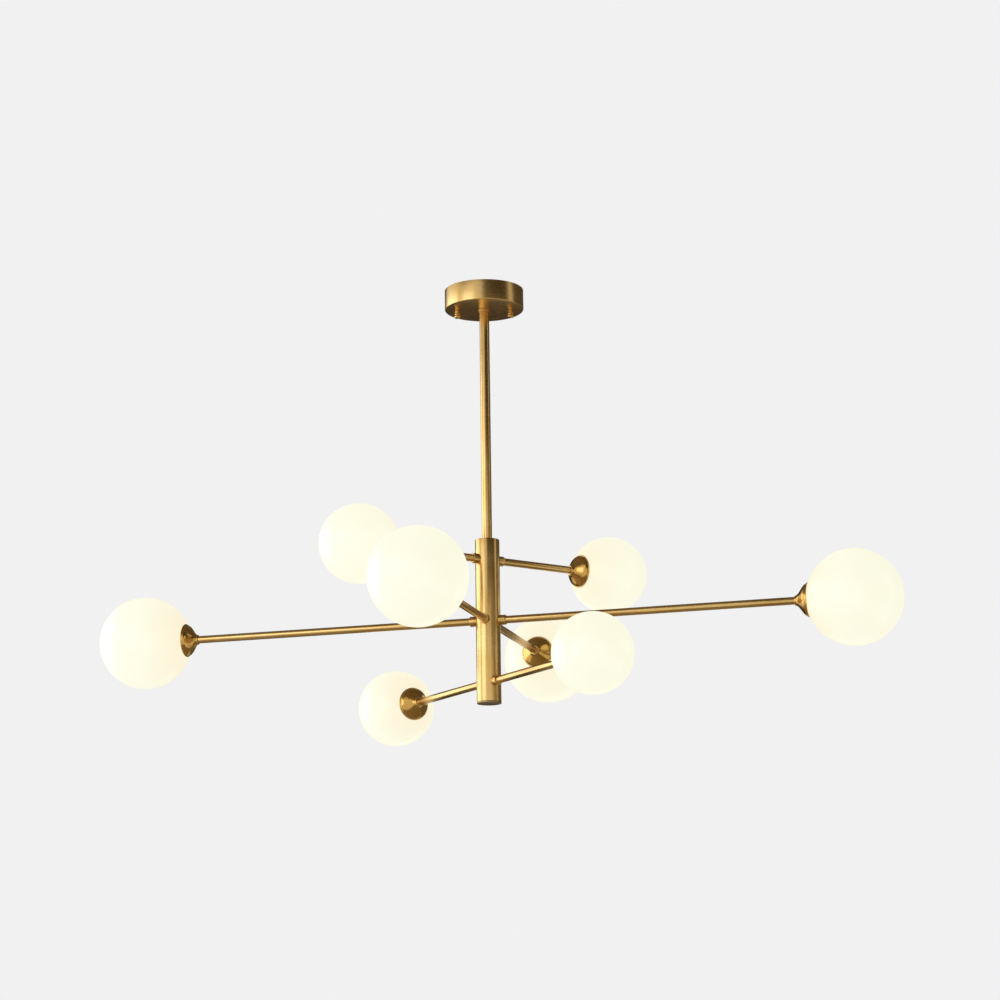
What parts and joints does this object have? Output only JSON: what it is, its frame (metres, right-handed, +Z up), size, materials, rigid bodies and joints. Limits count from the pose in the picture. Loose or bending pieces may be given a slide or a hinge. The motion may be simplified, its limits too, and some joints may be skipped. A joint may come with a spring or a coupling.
{
  "type": "branch chandelier",
  "caption": "Ceiling chandelier with a down rod, a vertical brass hub and straight crossbars at three levels, each ending in flared cups that hold opal glass globes.",
  "frame": {"origin": "centre of the canopy's rim, on the ceiling face", "axes": "+Z up into the ceiling along the hub's axis, +X along the long crossbar"},
  "size_m": [1.32, 0.9, 0.709],
  "materials": {
    "brass_satin": "satin brushed",
    "brass_dark": "dark satin",
    "steel_zinc": "zinc plated",
    "opal_glass": "satin opal, lit from inside",
    "holder_ceramic": "gloss",
    "bulb_frosted": "frosted",
    "seal_silicone": "matt",
    "lead_sheath": "matt",
    "block_plastic": "matt"
  },
  "bodies": {
    "frame": {"ceiling_bracket": "steel_zinc", "bracket_studs": "steel_zinc", "stud_nuts": "steel_zinc", "terminal_block": "block_plastic", "canopy": "brass_satin", "top_nipple": "steel_zinc", "nipple_washers": "steel_zinc", "nipple_lock_nuts": "steel_zinc", "rod_flange": "brass_satin", "down_rod": "brass_satin", "rod_bushings": "brass_dark", "hub_tube": "brass_satin", "hub_top_plug": "brass_satin", "hub_nipple": "steel_zinc", "arm_collars": "brass_satin", "arm_nipples": "steel_zinc", "arm_washers": "steel_zinc", "arm_lock_nuts": "steel_zinc", "supply_lead": "lead_sheath", "lead_junction": "block_plastic", "lamp_leads": "lead_sheath", "lampholders": "holder_ceramic", "bulbs": "bulb_frosted", "arm_1": "brass_satin", "arm_2": "brass_satin", "arm_3": "brass_satin", "arm_4": "brass_satin", "arm_5": "brass_satin", "arm_6": "brass_satin", "arm_7": "brass_satin", "arm_8": "brass_satin", "cup_1": "brass_satin", "cup_2": "brass_satin", "cup_3": "brass_satin", "cup_4": "brass_satin", "cup_5": "brass_satin", "cup_6": "brass_satin", "cup_7": "brass_satin", "cup_8": "brass_satin"},
    "cap_nut_left": {"cap_nut_left": "brass_satin"},
    "cap_nut_right": {"cap_nut_right": "brass_satin"},
    "hub_bottom_cap": {"hub_bottom_cap": "brass_dark"},
    "seal_ring_1": {"seal_ring_1": "seal_silicone"},
    "globe_1": {"globe_1": "opal_glass"},
    "seal_ring_2": {"seal_ring_2": "seal_silicone"},
    "globe_2": {"globe_2": "opal_glass"},
    "seal_ring_3": {"seal_ring_3": "seal_silicone"},
    "globe_3": {"globe_3": "opal_glass"},
    "seal_ring_4": {"seal_ring_4": "seal_silicone"},
    "globe_4": {"globe_4": "opal_glass"},
    "seal_ring_5": {"seal_ring_5": "seal_silicone"},
    "globe_5": {"globe_5": "opal_glass"},
    "seal_ring_6": {"seal_ring_6": "seal_silicone"},
    "globe_6": {"globe_6": "opal_glass"},
    "seal_ring_7": {"seal_ring_7": "seal_silicone"},
    "globe_7": {"globe_7": "opal_glass"},
    "seal_ring_8": {"seal_ring_8": "seal_silicone"},
    "globe_8": {"globe_8": "opal_glass"}
  },
  "joints": [
    {"name": "cap_nut_left_turn", "type": "hinge", "parent": "frame", "child": "cap_nut_left", "pos_m": [-0.04202, -0.01126, -0.038], "axis": [0, 0, 1], "continuous": true},
    {"name": "cap_nut_right_turn", "type": "hinge", "parent": "frame", "child": "cap_nut_right", "pos_m": [0.04202, 0.01126, -0.038], "axis": [0, 0, 1], "continuous": true},
    {"name": "hub_bottom_cap_turn", "type": "hinge", "parent": "frame", "child": "hub_bottom_cap", "pos_m": [0, 0, -0.6805], "axis": [0, 0, 1], "continuous": true},
    {"name": "globe_1_out", "type": "slide", "parent": "frame", "child": "seal_ring_1", "axis": [1, 0, 0], "range_m": [0, 0.006]},
    {"name": "globe_1_unscrew", "type": "hinge", "parent": "seal_ring_1", "child": "globe_1", "pos_m": [0.585, 0, -0.5475], "axis": [1, 0, 0], "range_deg": [0, 720]},
    {"name": "globe_2_out", "type": "slide", "parent": "frame", "child": "seal_ring_2", "axis": [0.6428, 0.766, 0], "range_m": [0, 0.006]},
    {"name": "globe_2_unscrew", "type": "hinge", "parent": "seal_ring_2", "child": "globe_2", "pos_m": [0.15427, 0.18385, -0.4485], "axis": [0.6428, 0.766, 0], "range_deg": [0, 720]},
    {"name": "globe_3_out", "type": "slide", "parent": "frame", "child": "seal_ring_3", "axis": [0, 1, 0], "range_m": [0, 0.006]},
    {"name": "globe_3_unscrew", "type": "hinge", "parent": "seal_ring_3", "child": "globe_3", "pos_m": [0, 0.375, -0.5475], "axis": [0, 1, 0], "range_deg": [0, 720]},
    {"name": "globe_4_out", "type": "slide", "parent": "frame", "child": "seal_ring_4", "axis": [-0.7314, 0.682, 0], "range_m": [0, 0.006]},
    {"name": "globe_4_unscrew", "type": "hinge", "parent": "seal_ring_4", "child": "globe_4", "pos_m": [-0.21941, 0.2046, -0.6465], "axis": [-0.7314, 0.682, 0], "range_deg": [0, 720]},
    {"name": "globe_5_out", "type": "slide", "parent": "frame", "child": "seal_ring_5", "axis": [-1, 0, 0], "range_m": [0, 0.006]},
    {"name": "globe_5_unscrew", "type": "hinge", "parent": "seal_ring_5", "child": "globe_5", "pos_m": [-0.585, 0, -0.5475], "axis": [-1, 0, 0], "range_deg": [0, 720]},
    {"name": "globe_6_out", "type": "slide", "parent": "frame", "child": "seal_ring_6", "axis": [-0.6428, -0.766, 0], "range_m": [0, 0.006]},
    {"name": "globe_6_unscrew", "type": "hinge", "parent": "seal_ring_6", "child": "globe_6", "pos_m": [-0.15427, -0.18385, -0.4485], "axis": [-0.6428, -0.766, 0], "range_deg": [0, 720]},
    {"name": "globe_7_out", "type": "slide", "parent": "frame", "child": "seal_ring_7", "axis": [0, -1, 0], "range_m": [0, 0.006]},
    {"name": "globe_7_unscrew", "type": "hinge", "parent": "seal_ring_7", "child": "globe_7", "pos_m": [0, -0.375, -0.5475], "axis": [0, -1, 0], "range_deg": [0, 720]},
    {"name": "globe_8_out", "type": "slide", "parent": "frame", "child": "seal_ring_8", "axis": [0.7314, -0.682, 0], "range_m": [0, 0.006]},
    {"name": "globe_8_unscrew", "type": "hinge", "parent": "seal_ring_8", "child": "globe_8", "pos_m": [0.21941, -0.2046, -0.6465], "axis": [0.7314, -0.682, 0], "range_deg": [0, 720]}
  ],
  "couplings": [
    {"joint": "globe_1_out", "follows": "globe_1_unscrew", "m_per_rad": 0.00047746},
    {"joint": "globe_2_out", "follows": "globe_2_unscrew", "m_per_rad": 0.00047746},
    {"joint": "globe_3_out", "follows": "globe_3_unscrew", "m_per_rad": 0.00047746},
    {"joint": "globe_4_out", "follows": "globe_4_unscrew", "m_per_rad": 0.00047746},
    {"joint": "globe_5_out", "follows": "globe_5_unscrew", "m_per_rad": 0.00047746},
    {"joint": "globe_6_out", "follows": "globe_6_unscrew", "m_per_rad": 0.00047746},
    {"joint": "globe_7_out", "follows": "globe_7_unscrew", "m_per_rad": 0.00047746},
    {"joint": "globe_8_out", "follows": "globe_8_unscrew", "m_per_rad": 0.00047746}
  ]
}
